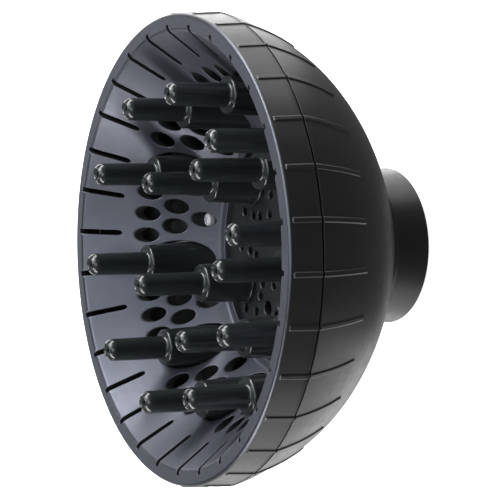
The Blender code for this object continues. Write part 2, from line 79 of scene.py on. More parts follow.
# Dome and collar of the rear shell
DOME_END_RADIUS = 32.5
DOME_END_Z = 17.6
DOME_TOP_LEAN = 13.0
DOME_END_LEAN = 57.0
DOME_TOP_REACH = 32.0
DOME_END_REACH = 28.0
DOME_ROW = 2.2               # spacing of the mesh rows down the dome
COLLAR_NECK_RADIUS = 26.7
COLLAR_NECK_Z = 12.0
COLLAR_RADIUS = 27.7
COLLAR_OUTER_EDGE_Z = 0.2
COLLAR_INNER_EDGE_Z = 0.0
COLLAR_BORE = 25.3
GRIP_SEAT_Z = 14.2
STOP_BORE = 23.4
NOZZLE_STOP_Z = 16.6
NOZZLE_STOP_RADIUS = 22.0
TONGUE_RISE = 3.2
TONGUE_WALL = 1.5
TONGUE_ROOT = 3.0
TONGUE_EDGE = 0.3

# The outside's ribs and the funnel's slots share one spacing
RIB_COUNT = 30
RIB_STEP = 360.0 / RIB_COUNT
RIB_PHASE = 6.55
RIB_HALF = 1.05
RIB_CORNER = 0.5
RIB_RISE = 0.44
RIB_SIDE = 0.5               # width of each sloping side
RIB_TOP_Z = 84.9
RIB_END_Z = 54.0
# Mesh rows round a rib's end, outwards from it and back along the rib
RIB_END_ROWS = (0.12, 0.0, -0.1, -0.2, -0.3, -0.4, -0.5, -0.6, -0.8)
RIB_LAST_ROW = 0.7
SLOT_HALF = 0.95
SLOT_INNER_RADIUS = 65.8
SLOT_OUTER_RADIUS = 76.4
SLOT_CORNER = 0.3
SLOT_EDGE = 0.18
BACK_BEND_RADIUS = SLOT_OUTER_RADIUS + 0.5   # outside it the bowl's back draws in to the skirt

# Funnel, ledge and the grille's seat
FUNNEL_TOP_RADIUS = 74.4
FUNNEL_TOP_Z = 85.9
FUNNEL_END_RADIUS = 44.6
FUNNEL_END_Z = 44.4
FUNNEL_WALL = 2.0
LEDGE_Z = 44.0
RIM_ROUND = 0.6
LEDGE_ROUND = 0.8
SEAT_RADIUS = 41.2
SEAT_EDGE = 0.35
SEAT_Z = 40.2
SEAT_LIP_RADIUS = 39.4
SEAT_LIP = 1.6
SEAT_BACK_RADIUS = 43.0

# Ten sectors, each with an outer finger at its start and air holes in its middle
SECTOR_COUNT = 10
SECTOR_STEP = 360.0 / SECTOR_COUNT
FINGER_PHASE = 5.35
AIR_HOLE_RADIUS = 2.7
AIR_HOLE_EDGE = 0.4
SCREW_SECTORS = (4, 9)
SCREW_CIRCLE = 48.2
AIR_HOLE_ROWS = ((60.5, (-7.6, 0.0, 7.6)), (54.4, (-3.9, 3.9)), (SCREW_CIRCLE, (0.0,)))
SCREW_FLOOR_Z = 45.4
SCREW_BOSS_RADIUS = 4.4
SCREW_BOSS_BASE_Z = 41.4
SCREW_BORE = 1.6
SCREW_POST_RADIUS = 3.6
SCREW_POST_TOP_Z = 41.0
SCREW_POST_BORE_Z = 33.0

# Grille
GRILLE_RADIUS = 40.9
GRILLE_THICKNESS = 2.0
GRILLE_HOLE = 1.5
GRILLE_LARGE_HOLE = 2.5
GRILLE_HOLE_EDGE = 0.55
GRILLE_MIDDLE_EDGE = 0.5
GRILLE_RIM_EDGE = 0.5
GRILLE_ROWS = (
    (7.5, (0.0,), GRILLE_HOLE),
    (15.5, (0.0, 36.0), GRILLE_HOLE),
    (20.7, (-20.5, 20.5), GRILLE_HOLE),
    (24.9, (0.0,), GRILLE_LARGE_HOLE),
    (24.9, (-15.0, 15.0), GRILLE_HOLE),
    (31.0, (-12.0, 12.0), GRILLE_HOLE),
    (36.0, (-22.0, 0.0, 22.0), GRILLE_HOLE),
)

# Fingers
OUTER_FINGER_CIRCLE = 53.4
OUTER_NOSE_Z = 90.5          # where the shaft's round nose starts
OUTER_SHOULDER_Z = 70.6
INNER_FINGER_CIRCLE = 30.96
INNER_NOSE_Z = 83.7
INNER_SHOULDER_Z = 61.2
INNER_FINGER_PHASE = -12.65
INNER_FINGER_COUNT = 5
INNER_FINGER_STEP = 360.0 / INNER_FINGER_COUNT
SHAFT_RADIUS = 4.15
SHAFT_TIP_RADIUS = 3.95
SHAFT_BORE = 2.7
NOSE_REACH = 3.0             # the nose is part of an ellipsoid; this is its half-length
MOUTH_RADIUS = 2.4
MOUTH_DEPTH = 0.5
TIP_HOLE = 1.0
TIP_WALL = 1.6
# The tip's mouth: how far inside its edge and how far below it the dish's points lie
MOUTH_DISH = ((0.08, 0.01), (0.17, 0.05), (0.3, 0.16), (0.5, 0.32), (0.8, 0.44))
SHOULDER_ROUND = 0.9
SHOULDER_RISE = 0.15         # the shoulder's ring climbs this much towards the shaft
SHAFT_ROOT_ROUND = 1.0
SHAFT_BORE_DEPTH = 4.0       # the shaft's bore ends this far below the shoulder
BOSS_BORE_DEPTH = 6.0
BOSS_RADIUS = 6.8
BOSS_FOOT_RADIUS = 7.5
BOSS_BORE = 5.4
FINGER_SOCKET = 7.9
FINGER_SOCKET_EDGE = 0.3
FLANGE_RADIUS = 9.3
FLANGE_ROOM = FUNNEL_END_RADIUS + 2.3   # the flanges are cut off inside this circle
FLANGE_WALL = 1.5
INNER_FOOT_RADIUS = 7.9
INNER_FOOT_RISE = 1.2
GRILLE_SOCKET = 6.5
GRILLE_SOCKET_EDGE = 0.2
NECK_RADIUS = 6.2
NECK_BORE = 4.6
CATCH_RADIUS = 7.3
CATCH_WALL = 1.2
CATCH_SLOPE = 0.5

# Screws
SCREW_HEAD_RADIUS = 2.4
SCREW_HEAD_HEIGHT = 3.0
SCREW_CROWN = 1.1
SCREW_HEAD_EDGE = 0.15
SCREW_SHANK_RADIUS = 1.3
SCREW_LENGTH = 12.0
SCREW_POINT = 1.5
THREAD_START = 0.5
THREAD_PITCH = 1.0
THREAD_DEPTH = 0.25
THREAD_ROWS = 8
CROSS_SIZE = (2.6, 0.55, 2.0)
CROSS_TURN = 30.0

# Grip ring
GRIP_OUTER = COLLAR_BORE - GAP
GRIP_INNER = 24.2
GRIP_BASE_Z = 1.2
GRIP_TOP_Z = GRIP_SEAT_Z - GAP
GRIP_RIB_PARTS = 12          # the ribs divide the ring's height into this many parts
GRIP_RIB = 0.2
GRIP_RIB_HALF = 0.3
GRIP_LIP = 0.6
GRIP_LIP_ROWS = (4, 8)       # these ribs reach further, as lips

# Mesh fineness
ARC_STEP = 18.0              # degrees of a fillet for each facet
SEAT_SIDES = 240
FINGER_SIDES = 64
SOCKET_SIDES = 72
HOLE_SIDES = 36
LIP_ANGLES = (0.0, 22.5, 45.0, 67.5, 90.0)
LIP_GUARD = 0.14             # a mesh line this far outside each lip keeps the face round it flat
OPENING_MARGIN = 0.3         # the plates' rings of points keep this far from an opening
# Mesh rings beside the funnel's upper edge, the rim's step and the funnel's lower edge
FUNNEL_TOP_ROWS = (-1.2, -0.6, -0.4, -0.2, 0.0, 0.2, 0.4)
RIM_STEP_ROWS = (-0.12, -0.09, -0.06, -0.03, 0.0, 0.15, 1.0)
FUNNEL_END_ROWS = (-1.2, -0.6, -0.3, 0.0, 0.25, 0.5, 0.8)
FUNNEL_ROW = 2.4
RIM_SIDES = 360
NECK_STEPS = 12              # facets of the curve between the dome and the collar
DOME_FIRST_ROW = 1.4         # distances of mesh rows from the seam, down the dome
RIBBED_ROW_START = 2.6
RIBBED_ROW = 2.0
SLOT_ROW = 0.6               # longest mesh edge along a slot
SHARP_ANGLE = 40.0
SCREW_SHARP_ANGLE = 50.0
COLUMN_FAN_RADIUS = 70.4     # inside this radius the columns beside a rib draw together
# Mesh columns beside a rib's middle, in millimetres at the seam
NEAR_COLUMNS = (0.0, 0.4, 0.55, 0.65, 0.75, 0.85, 0.95, 1.05, 1.15, 1.4)
FAR_COLUMNS = (2.6, 4.4, 6.4)

# Camera and stage
CAMERA_AIM = (-0.17, -0.55, 56.0)
CAMERA_DISTANCE = 711.1
CAMERA_AZIMUTH = 0.65        # degrees from +X towards +Y
CAMERA_ELEVATION = 28.78
CAMERA_ROLL = -91.4          # the camera lies on its side, so the mouth looks left
CAMERA_LENS = 147.9
FLOOR_SIZE = 6000.0
FLOOR_DROP = 0.2             # the floor lies this far under the collar

# Materials of the front bowl, by their place in its mesh; DARK is the skirt's own dark plastic and also
# painted shade on the walls of the holes, sockets and slots
FACE, DARK, EDGE = 0, 1, 2


# ---------------------------------------------------------------- curves

def on_circle(radius, degrees):
    return radius * cos(radians(degrees)), radius * sin(radians(degrees))


def smooth_least(a, b, width):
    """The smaller of two heights, with a round corner where they meet."""
    near = max(width - abs(a - b), 0.0)
    return min(a, b) - near * near / (4 * width)


def smooth_step(part):
    part = min(max(part, 0.0), 1.0)
    return part * part * (3 - 2 * part)


def funnel_lean():
    return atan2(FUNNEL_TOP_RADIUS - FUNNEL_END_RADIUS, FUNNEL_TOP_Z - FUNNEL_END_Z)


def funnel_z(radius, depth=0.0):
    """Height of the surface that lies depth behind the funnel's inner face."""
    lean = funnel_lean()
    return FUNNEL_TOP_Z - (FUNNEL_TOP_RADIUS - radius) / tan(lean) - depth / sin(lean)


def bowl_front_z(radius):
    """Height of the rim's face, its step, the funnel and the ledge, with round corners between them."""
    face = RIM_FACE_Z - RIM_STEP * smooth_step((RIM_STEP_RADIUS - radius) / RIM_STEP_WIDTH)
    top = smooth_least(funnel_z(radius), face, RIM_ROUND)
    return -smooth_least(-top, -LEDGE_Z, LEDGE_ROUND)


def skirt_radius(z):
    """Radius of the skirt, which widens evenly from the rim's edge to the seam."""
    return RIM_RADIUS + (RIM_EDGE_Z - z) / (RIM_EDGE_Z - SEAM_Z) * (SEAM_RADIUS - RIM_RADIUS)


def dome_points(inset=0.0, steps=400):
    """Points down the dome from the seam to the collar, moved inwards by inset."""
    top, end = Vector((SEAM_RADIUS, SEAM_Z)), Vector((DOME_END_RADIUS, DOME_END_Z))
    lean0, lean1 = radians(DOME_TOP_LEAN), radians(DOME_END_LEAN)
    handle0 = top - DOME_TOP_REACH * Vector((sin(lean0), cos(lean0)))
    handle1 = end + DOME_END_REACH * Vector((sin(lean1), cos(lean1)))
    points = []
    for i in range(steps + 1):
        t = i / steps
        s = 1 - t
        spot = s**3 * top + 3 * s * s * t * handle0 + 3 * s * t * t * handle1 + t**3 * end
        way = s * s * (handle0 - top) + 2 * s * t * (handle1 - handle0) + t * t * (end - handle1)
        way.normalize()
        points.append(spot + inset * Vector((way.y, -way.x)))
    return points


def along_curve(points, distances):
    """(point, direction) at each distance along a broken line; the distances only grow."""
    found = []
    i, walked = 0, 0.0
    for distance in distances:
        while i < len(points) - 2 and walked + (points[i + 1] - points[i]).length < distance:
            walked += (points[i + 1] - points[i]).length
            i += 1
        way = (points[i + 1] - points[i]).normalized()
        found.append((points[i] + way * (distance - walked), way))
    return found


def curve_length(points, below=None):
    """Length of a broken line, down to a height where one is given."""
    walked = 0.0
    for a, b in zip(points, points[1:]):
        if below is not None and b.y < below:
            return walked + (a.y - below) / (a.y - b.y) * (b - a).length
        walked += (b - a).length
    return walked


def rounded(corners, guard=0.3):
    """Closed outline of (radius, height, fillet) corners, each fillet an arc.

    A guard point beside each arc, guard times its radius away, keeps the flats' shading flat.
    """
    points = []
    for i, (x, y, fillet) in enumerate(corners):
        here = Vector((x, y))
        if not fillet:
            points.append((x, y))
            continue
        before = (Vector(corners[i - 1][:2]) - here).normalized()
        after = (Vector(corners[(i + 1) % len(corners)][:2]) - here).normalized()
        half = before.angle(after) / 2
        reach = fillet / tan(half)
        centre = here + (before + after).normalized() * (fillet / sin(half))
        first = here + before * reach - centre
        last = here + after * reach - centre
        turn = atan2(first.x * last.y - first.y * last.x, first.dot(last))
        steps = max(2, ceil(abs(turn) / radians(ARC_STEP)))
        points.append(tuple(centre + first + before * guard * fillet))
        for k in range(steps + 1):
            points.append(tuple(centre + Matrix.Rotation(turn * k / steps, 2) @ first))
        points.append(tuple(centre + last + after * guard * fillet))
    return points


# ---------------------------------------------------------------- meshes

def bridge(bm, first, second, material=0):
    """Faces between two closed loops; a loop of one vertex is a pole."""
    for i in range(max(len(first), len(second))):
        if len(first) == 1:
            corners = (first[0], second[i], second[i - 1])
        elif len(second) == 1:
            corners = (first[i - 1], first[i], second[0])
        else:
            corners = (first[i - 1], first[i], second[i], second[i - 1])
        bm.faces.new(corners).material_index = material


def ring(bm, radius, z, sides, centre=(0.0, 0.0)):
    if radius == 0:
        return [bm.verts.new((*centre, z))]
    spots = (on_circle(radius, 360 * i / sides) for i in range(sides))
    return [bm.verts.new((centre[0] + x, centre[1] + y, z)) for x, y in spots]


def turn(bm, outline, sides, centre=(0.0, 0.0)):
    """Closed outline of (radius, height) points turned round a vertical axis."""
    loops = [ring(bm, radius, z, sides, centre) for radius, z in outline]
    for i in range(len(loops)):
        if len(loops[i - 1]) > 1 or len(loops[i]) > 1:
            bridge(bm, loops[i - 1], loops[i])
    return loops


def make_mesh(name, bm, materials, sharp=SHARP_ANGLE):
    bmesh.ops.recalc_face_normals(bm, faces=bm.faces)
    bmesh.ops.scale(bm, vec=(MM, MM, MM), verts=bm.verts)
    mesh = bpy.data.meshes.new(name)
    bm.to_mesh(mesh)
    bm.free()
    for mat in materials:
        mesh.materials.append(mat)
    mesh.shade_smooth()
    mesh.set_sharp_from_angle(angle=radians(sharp))
    return mesh


def add_object(name, mesh):
    piece = bpy.data.objects.new(name, mesh)
    bpy.context.scene.collection.objects.link(piece)
    return piece


def add_piece(name, mesh, node):
    """A piece of the visual model that stands for a CAD node."""
    piece = add_object(name, mesh)
    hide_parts(node)
    return piece


def combine(piece, tool, operation):
    """Applies a Boolean with a helper object, then removes the helper."""
    modifier = piece.modifiers.new("combine", "BOOLEAN")
    modifier.operation = operation
    modifier.solver = "MANIFOLD"
    modifier.object = tool
    graph = bpy.context.evaluated_depsgraph_get()
    mesh = bpy.data.meshes.new_from_object(piece.evaluated_get(graph))
    piece.modifiers.remove(modifier)
    old = piece.data
    piece.data = mesh
    bpy.data.meshes.remove(old)
    bpy.data.objects.remove(tool, do_unlink=True)


def finish_shading(piece, sharp=SHARP_ANGLE):
    piece.data.shade_smooth()
    piece.data.set_sharp_from_angle(angle=radians(sharp))


# ---------------------------------------------------------------- pierced plates

def lip_loops(outline, edge):
    """(points, drop) loops of an opening's rounded lip; outline(d) gives it d outside its wall."""
    loops = []
    for angle in LIP_ANGLES:
        loops.append((outline(edge * (1 - cos(radians(angle)))), edge * (1 - sin(radians(angle)))))
    loops.append((outline(edge + LIP_GUARD), 0.0))
    return loops


def round_opening(x, y, radius, edge, sides=HOLE_SIDES):
    """A round hole with a rounded lip."""
    def outline(wider):
        spots = (on_circle(radius + wider, 360 * i / sides) for i in range(sides))
        return [(x + dx, y + dy) for dx, dy in spots]

    def covers(px, py, margin):
        return hypot(px - x, py - y) < radius + edge + margin

    return lip_loops(outline, edge), covers


def slot_opening(degrees, edge):
    """A slot along a radius: round at its inner end, nearly square at its outer end."""
    spin = Matrix.Rotation(radians(degrees), 2)
    arcs = (
        (SLOT_INNER_RADIUS + SLOT_HALF, 0.0, SLOT_HALF, 90, 270, 8),
        (SLOT_OUTER_RADIUS - SLOT_CORNER, -SLOT_HALF + SLOT_CORNER, SLOT_CORNER, 270, 360, 3),
        (SLOT_OUTER_RADIUS - SLOT_CORNER, SLOT_HALF - SLOT_CORNER, SLOT_CORNER, 0, 90, 3),
    )
    side = SLOT_OUTER_RADIUS - SLOT_CORNER - SLOT_INNER_RADIUS - SLOT_HALF
    parts = ceil(side / SLOT_ROW)

    def outline(wider):
        points = []
        for u, v, radius, start, end, steps in arcs:
            for k in range(steps + 1):
                du, dv = on_circle(radius + wider, start + (end - start) * k / steps)
                points.append((u + du, v + dv))
            if v >= 0 and radius == SLOT_CORNER or radius == SLOT_HALF:
                sign = 1 if v > 0 else -1
                for k in range(1, parts):
                    far = SLOT_INNER_RADIUS + SLOT_HALF + side * (k if sign < 0 else parts - k) / parts
                    points.append((far, sign * (SLOT_HALF + wider)))
        return [tuple(spin @ Vector(p)) for p in points]

    def covers(px, py, margin):
        u, v = spin.transposed() @ Vector((px, py))
        reach = edge + margin
        return SLOT_INNER_RADIUS - reach < u < SLOT_OUTER_RADIUS + reach and abs(v) < SLOT_HALF + reach

    return lip_loops(outline, edge), covers


def pierced_plate(outline, openings, circles, front, back):
    """Plate with openings, its front and back given as place(x, y, drop) functions.

    circles are (radius, sides) rings of further points that carry the plate's curved shape.
    Returns the mesh and, for the outline and then each opening, its front and back loops.
    """
    points, drops, edges, loops = [], [], [], []

    def add_loop(loop, drop):
        start = len(points)
        points.extend(Vector(p) for p in loop)
        drops.extend([drop] * len(loop))
        count = len(loop)
        edges.extend((start + i, start + (i + 1) % count) for i in range(count))
        return range(start, start + count)

    loops.append(add_loop(outline, 0.0))
    for lips, covers in openings:
        added = [add_loop(loop, drop) for loop, drop in lips]
        loops.append(added[0])
    for radius, sides in circles:
        spots = [on_circle(radius, 360 * i / sides) for i in range(sides)]
        clear = [not any(covers(*spot, OPENING_MARGIN) for _, covers in openings) for spot in spots]
        places = {}
        for i, spot in enumerate(spots):
            if clear[i]:
                places[i] = len(points)
                points.append(Vector(spot))
                drops.append(0.0)
        for i in places:
            if (i + 1) % sides in places:
                edges.append((places[i], places[(i + 1) % sides]))

    flat, _, faces, origin, _, _ = geometry.delaunay_2d_cdt(points, edges, [], 0, 1e-6, True)
    wall = {}
    for number, loop in enumerate(loops[1:]):
        for i in loop:
            wall[i] = number
    bm = bmesh.new()
    top = [bm.verts.new(front(p.x, p.y, drops[o[0]])) for p, o in zip(flat, origin)]
    low = [bm.verts.new(back(p.x, p.y)) for p in flat]
    for face in faces:
        corners = [origin[i][0] for i in face]
        if corners[0] in wall and len({wall.get(c) for c in corners}) == 1:
            continue
        bm.faces.new([top[i] for i in face])
        bm.faces.new([low[i] for i in reversed(face)])
    place = {o[0]: i for i, o in enumerate(origin)}
    found = [([top[place[i]] for i in loop], [low[place[i]] for i in loop]) for loop in loops]
    return bm, found


# ---------------------------------------------------------------- front bowl

def rib_columns(radius):
    """Angles of the mesh columns at a radius; those beside a rib run parallel to it."""
    reach = max(radius, COLUMN_FAN_RADIUS)
    offsets = [o / reach for o in NEAR_COLUMNS] + [o / SEAM_RADIUS for o in FAR_COLUMNS]
    beside = [-o for o in reversed(offsets[1:])] + offsets
    half = radians(RIB_STEP) / 2
    columns = []
    for i in range(RIB_COUNT):
        middle = radians(RIB_PHASE + i * RIB_STEP)
        columns += [middle + o for o in beside] + [middle + half]
    return columns


def column_loop(bm, radius, z):
    return [bm.verts.new((radius * cos(a), radius * sin(a), z)) for a in rib_columns(radius)]


def rib_rise(across, along, low, high):
    """Height of a rib at a spot, from its distance to the rib's rounded outline."""
    x = abs(across) - RIB_HALF + RIB_CORNER
    y = abs(along - (low + high) / 2) - (high - low) / 2 + RIB_CORNER
    distance = min(max(x, y), 0.0) + hypot(max(x, 0.0), max(y, 0.0)) - RIB_CORNER
    return RIB_RISE * smooth_step(-distance / RIB_SIDE)


def ribbed_loop(bm, spot, way, along, low, high):
    """Column loop on a surface at (radius, height) spot, raised along its normal where a rib passes."""
    normal = Vector((-way.y, way.x))
    loop = []
    columns = rib_columns(spot.x)
    count = len(columns) // RIB_COUNT
    for i, angle in enumerate(columns):
        middle = radians(RIB_PHASE + i // count * RIB_STEP)
        risen = spot + normal * rib_rise((angle - middle) * spot.x, along, low, high)
        loop.append(bm.verts.new((risen.x * cos(angle), risen.x * sin(angle), risen.y)))
    return loop


def rib_reach():
    """The ribs' lower and upper ends, measured along the outside from the seam."""
    return -curve_length(dome_points(), RIB_END_Z), RIB_TOP_Z - SEAM_Z


def bowl_openings():
    openings = [round_opening(0, 0, SEAT_RADIUS, SEAT_EDGE, SEAT_SIDES)]
    for sector in range(SECTOR_COUNT):
        start = FINGER_PHASE + sector * SECTOR_STEP
        x, y = on_circle(OUTER_FINGER_CIRCLE, start)
        openings.append(round_opening(x, y, FINGER_SOCKET, FINGER_SOCKET_EDGE, SOCKET_SIDES))
        for radius, angles in AIR_HOLE_ROWS:
            for angle in angles:
                x, y = on_circle(radius, start + SECTOR_STEP / 2 + angle)
                openings.append(round_opening(x, y, AIR_HOLE_RADIUS, AIR_HOLE_EDGE))
    for i in range(RIB_COUNT):
        openings.append(slot_opening(RIB_PHASE + i * RIB_STEP, SLOT_EDGE))
    return openings


def bowl_back(x, y):
    """Place on the bowl's back under a spot of its front: it draws in near both edges."""
    radius = hypot(x, y)
    inner, outer = FUNNEL_END_RADIUS, BACK_BEND_RADIUS
    new = radius
    if radius < inner:
        new = SEAT_BACK_RADIUS + (radius - SEAT_RADIUS) * (inner - SEAT_BACK_RADIUS) / (inner - SEAT_RADIUS)
    if radius > outer:
        edge = RIM_RADIUS - RIM_FACE_INSET
        new = outer + (radius - outer) * (RIM_RADIUS - WALL - outer) / (edge - outer)
    z = min(funnel_z(new, FUNNEL_WALL), RIM_FACE_Z - RIM_WALL)
    return x * new / radius, y * new / radius, z


def make_front_bowl(bowl_mat, skirt_and_shade_mat, edge_mat):
    """Funnel, rim face, skirt and seat in one closed surface, then the two screw bosses.

    The skirt and the bosses are dark plastic. The walls of the openings take it too, as painted shade. The
    rim's outer rounding is brighter.
    """
    edge_radius = RIM_RADIUS - RIM_FACE_INSET
    outline = [(edge_radius * cos(a), edge_radius * sin(a)) for a in rib_columns(edge_radius)]
    circles = [(FUNNEL_TOP_RADIUS + step, RIM_SIDES) for step in FUNNEL_TOP_ROWS]
    circles += [(RIM_STEP_RADIUS + step, RIM_SIDES) for step in RIM_STEP_ROWS]
    circles += [(FUNNEL_END_RADIUS + step, SEAT_SIDES) for step in FUNNEL_END_ROWS]
    circles += [(FUNNEL_END_RADIUS + FUNNEL_ROW * k, SEAT_SIDES) for k in range(1, 12)]
    circles += [(edge_radius - 0.3, RIM_SIDES)]

    def front(x, y, drop):
        return x, y, bowl_front_z(hypot(x, y)) - drop

    bm, loops = pierced_plate(outline, bowl_openings(), circles, front, bowl_back)
    # The walls of the holes, sockets and slots take the dark plastic: painted shade inside the openings.
    for top, low in loops[2:]:
        bridge(bm, top, low, DARK)

    top, low = loops[1]
    rows = [(SEAT_RADIUS, SEAT_Z), (SEAT_LIP_RADIUS, SEAT_Z), (SEAT_LIP_RADIUS, SEAT_Z - SEAT_LIP)]
    last = top
    for radius, z in rows:
        loop = ring(bm, radius, z, SEAT_SIDES)
        bridge(bm, last, loop, FACE)
        last = loop
    bridge(bm, last, low, FACE)

    top, low = loops[0]
    last = top
    for k in range(1, 6):
        dr, dz = on_circle(RIM_FACE_INSET, 90 - 18 * k)
        loop = column_loop(bm, edge_radius + dr, RIM_EDGE_Z + dz)
        bridge(bm, last, loop, EDGE if k < 5 else DARK)
        last = loop
    rib_low, rib_high = rib_reach()
    heights = [RIB_TOP_Z + step for step in RIB_END_ROWS] + list(SKIRT_ROWS)
    down = Vector((SEAM_RADIUS - RIM_RADIUS, SEAM_Z - RIM_EDGE_Z)).normalized()
    low_edge = SEAM_Z + SEAM_GAP / 2
    spots = [(Vector((skirt_radius(z), z)), down) for z in heights]
    spots.append((Vector((SEAM_RADIUS, low_edge + SEAM_ROW * SEAM_EDGE)), down))
    for lean in map(radians, LIP_ANGLES):
        spot = Vector((SEAM_RADIUS - SEAM_EDGE * (1 - cos(lean)), low_edge + SEAM_EDGE * (1 - sin(lean))))
        spots.append((spot, down))
    for spot, way in spots:
        loop = ribbed_loop(bm, spot, way, spot.y - SEAM_Z, rib_low, rib_high)
        bridge(bm, last, loop, DARK)
        last = loop
    rim_back = RIM_FACE_Z - RIM_WALL - RIM_BACK_DROP
    for radius, z in ((SEAM_RADIUS - WALL, low_edge), (RIM_RADIUS - WALL, rim_back)):
        loop = column_loop(bm, radius, z)
        bridge(bm, last, loop, DARK)
        last = loop
    bridge(bm, last, low, DARK)

    bowl = add_piece("bowl_moulding", make_mesh("bowl_moulding", bm, (bowl_mat, skirt_and_shade_mat, edge_mat)),
                     "front_bowl")
    bm = bmesh.new()
    recess = AIR_HOLE_RADIUS - OVERLAP
    for x, y in screw_places():
        corners = [
            (SCREW_BORE, SCREW_BOSS_BASE_Z), (SCREW_BOSS_RADIUS, SCREW_BOSS_BASE_Z),
            (SCREW_BOSS_RADIUS, None), (recess, None), (recess, SCREW_FLOOR_Z), (SCREW_BORE, SCREW_FLOOR_Z),
        ]
        loops = turn(bm, [(r, z or 0) for r, z in corners], HOLE_SIDES, (x, y))
        for (radius, z), loop in zip(corners, loops):
            lowest = SCREW_FLOOR_Z + OVERLAP if radius < SCREW_BOSS_RADIUS else SCREW_BOSS_BASE_Z
            for vert in loop:
                if z is None:
                    level = bowl_front_z(hypot(vert.co.x, vert.co.y)) - FUNNEL_WALL / 2
                    vert.co.z = max(level, lowest)
    for face in bm.faces:
        face.material_index = DARK
    combine(bowl, add_object("bosses", make_mesh("bosses", bm, (bowl_mat, skirt_and_shade_mat))), "UNION")
    finish_shading(bowl)
    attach(bowl, "root")


def screw_places():
    """Both screws stand where their sectors' inmost air hole would be."""
    return [on_circle(SCREW_CIRCLE, FINGER_PHASE + (sector + 0.5) * SECTOR_STEP) for sector in SCREW_SECTORS]


# ---------------------------------------------------------------- rear shell

def make_rear_shell(mat):
    """Dome and collar with the ribs, the nozzle's socket, the tongue and the screw posts."""
    low, high = rib_reach()
    outer = dome_points()
    length = curve_length(outer)
    top_edge = SEAM_GAP / 2
    distances = [top_edge + SEAM_EDGE * SEAM_ROW, DOME_FIRST_ROW]
    count = int((-low - 2 * RIBBED_ROW) / RIBBED_ROW)
    distances += [RIBBED_ROW_START + RIBBED_ROW * k for k in range(count)]
    distances += [-low + step for step in (*reversed(RIB_END_ROWS), RIB_LAST_ROW)]
    rest = length + low - RIB_LAST_ROW
    count = ceil(rest / DOME_ROW)
    distances += [-low + RIB_LAST_ROW + rest * k / count for k in range(1, count + 1)]

    bm = bmesh.new()
    rows = []
    way = (outer[1] - outer[0]).normalized()
    for lean in map(radians, reversed(LIP_ANGLES)):
        out = SEAM_EDGE * (1 - cos(lean))
        spot = outer[0] + way * (top_edge + SEAM_EDGE * (1 - sin(lean))) + Vector((way.y, -way.x)) * out
        rows.append(ribbed_loop(bm, spot, way, spot.y - SEAM_Z, low, high))
    for distance, (spot, way) in zip(distances, along_curve(outer, distances)):
        rows.append(ribbed_loop(bm, spot, way, -distance, low, high))

    drop = (DOME_END_RADIUS - COLLAR_NECK_RADIUS) / tan(radians(DOME_END_LEAN))
    start = Vector((DOME_END_RADIUS, DOME_END_Z))
    corner = Vector((COLLAR_NECK_RADIUS, DOME_END_Z - drop))
    end = Vector((COLLAR_NECK_RADIUS, COLLAR_NECK_Z))
    parts = (k / NECK_STEPS for k in range(1, NECK_STEPS + 1))
    plain = [tuple((1 - t)**2 * start + 2 * t * (1 - t) * corner + t * t * end) for t in parts]
    inner = dome_points(WALL, 24)
    collar = [
        (COLLAR_RADIUS, COLLAR_OUTER_EDGE_Z, 0.55), (COLLAR_BORE, COLLAR_INNER_EDGE_Z, 0.5),
        (COLLAR_BORE, GRIP_SEAT_Z, 0), (STOP_BORE, GRIP_SEAT_Z, 0), (STOP_BORE, NOZZLE_STOP_Z, 0.2),
        (NOZZLE_STOP_RADIUS, NOZZLE_STOP_Z, 0.3), (NOZZLE_STOP_RADIUS, inner[-1].y, 0.3),
    ]
    guide = [(*end, 0), *collar, (*inner[-2], 0)]
    plain += rounded(guide)[1:-1]
    tongue = SEAM_RADIUS - WALL - GAP
    plain += [tuple(p) for p in reversed(inner[:-1]) if p.y < SEAM_Z - TONGUE_ROOT]
    plain += [
        (tongue - TONGUE_WALL, SEAM_Z - TONGUE_ROOT),
        (tongue - TONGUE_WALL, SEAM_Z + TONGUE_RISE - TONGUE_EDGE),
        (tongue - TONGUE_WALL + TONGUE_EDGE, SEAM_Z + TONGUE_RISE),
        (tongue - TONGUE_EDGE, SEAM_Z + TONGUE_RISE),
        (tongue, SEAM_Z + TONGUE_RISE - TONGUE_EDGE),
        (tongue, SEAM_Z - top_edge),
    ]
    rows += [column_loop(bm, radius, z) for radius, z in plain]
    for i in range(len(rows)):
        bridge(bm, rows[i - 1], rows[i])
    mesh = make_mesh("shell_moulding", bm, (mat,))
    shell = add_piece("shell_moulding", mesh, "rear_shell")

    bm = bmesh.new()
    middle = dome_points(WALL / 2)
    for x, y in screw_places():
        loops = turn(bm, rounded([
            (0, 0, 0), (SCREW_POST_RADIUS, 0, 0), (SCREW_POST_RADIUS, SCREW_POST_TOP_Z, 0.4),
            (SCREW_BORE, SCREW_POST_TOP_Z, 0.2), (SCREW_BORE, SCREW_POST_BORE_Z, 0),
            (0, SCREW_POST_BORE_Z, 0),
        ]), HOLE_SIDES, (x, y))
        for loop in loops[:2]:
            for vert in loop:
                vert.co.z = next(p.y for p in middle if p.x < hypot(vert.co.x, vert.co.y))
    combine(shell, add_object("posts", make_mesh("posts", bm, (mat,))), "UNION")
    finish_shading(shell)
    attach(shell, "root")


# ---------------------------------------------------------------- grille

def inner_finger_angles():
    return [INNER_FINGER_PHASE + i * INNER_FINGER_STEP for i in range(INNER_FINGER_COUNT)]


